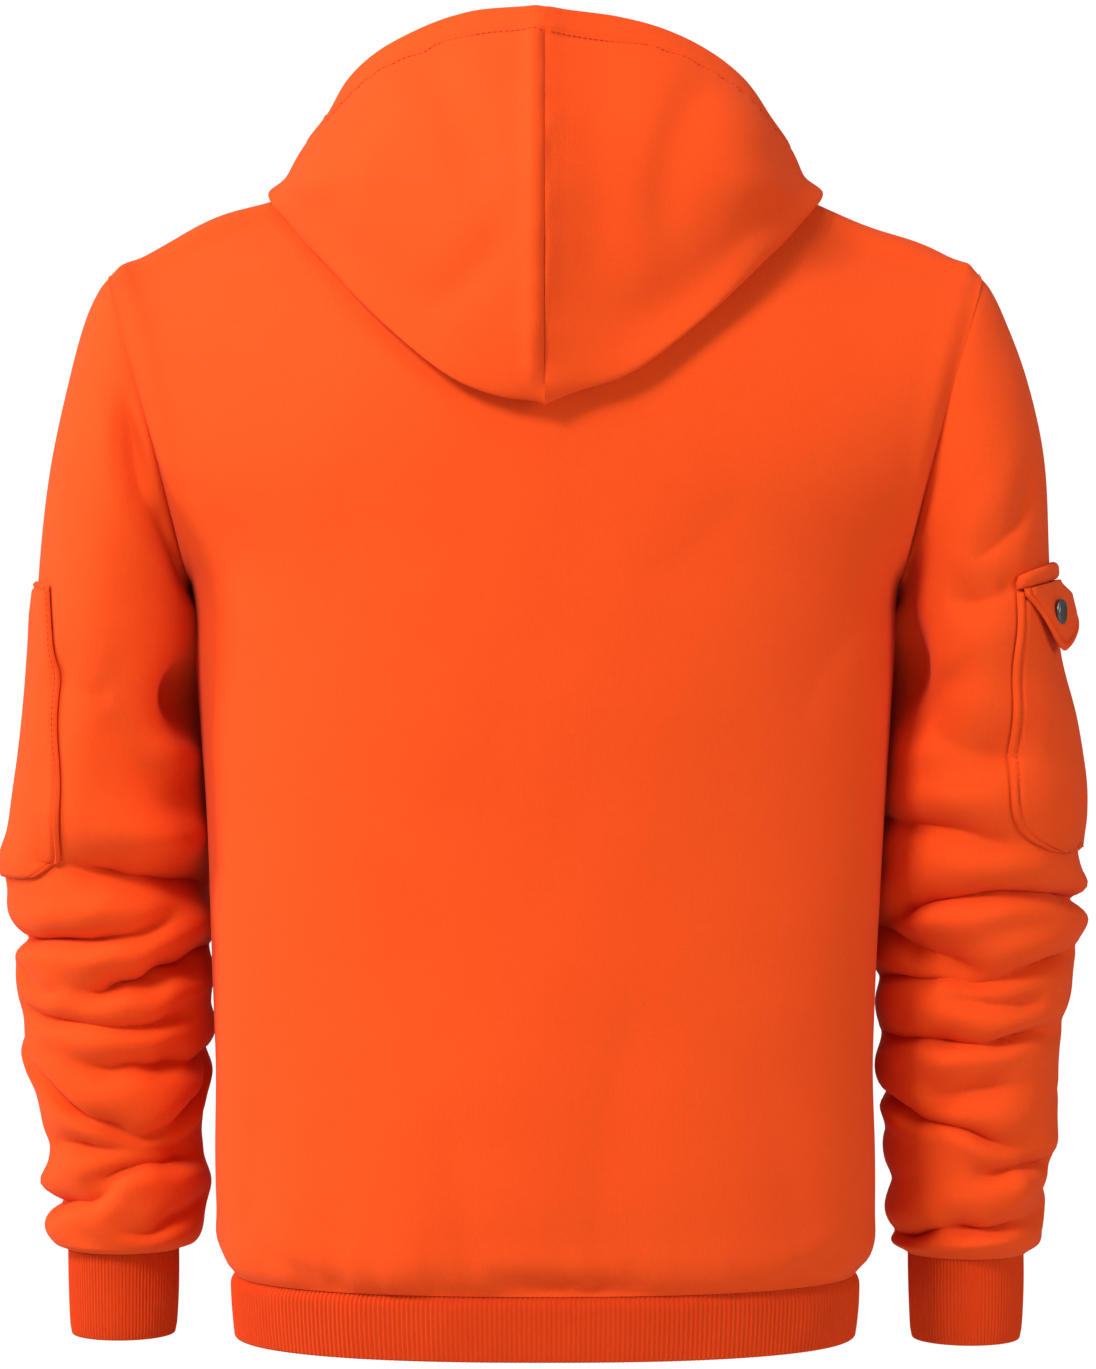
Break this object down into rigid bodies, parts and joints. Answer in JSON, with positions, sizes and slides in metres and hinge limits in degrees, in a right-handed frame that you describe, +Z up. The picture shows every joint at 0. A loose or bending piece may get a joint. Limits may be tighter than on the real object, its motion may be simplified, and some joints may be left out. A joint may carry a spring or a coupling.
{
  "type": "hooded sweatshirt",
  "caption": "Orange fleece pullover in its worn form with an open hood lying down, ribbed cuffs and hem, bunched sleeves and upper sleeve pockets, one with a snap flap.",
  "frame": {"origin": "middle of the neck opening, level with the tops of the shoulders", "axes": "+Z up towards the wearer's head, front towards -Y, the wearer's left at +X"},
  "size_m": [0.6488, 0.284, 0.7915],
  "materials": {
    "fleece": "matte brushed sweatshirt fleece, bright orange",
    "rib": "matte ribbed knit, bright orange",
    "snap_metal": "dark gunmetal, satin"
  },
  "bodies": {
    "root": {"back_panel": "fleece", "front_panel": "fleece", "sleeve_left": "fleece", "sleeve_right": "fleece", "hem_rib": "rib", "cuff_left": "rib", "cuff_right": "rib", "hood_left": "fleece", "hood_right": "fleece", "pocket_left": "fleece", "pocket_right": "fleece", "flap_band_right": "fleece", "pocket_flap_right": "fleece", "snap_cap": "snap_metal"}
  },
  "joints": []
}
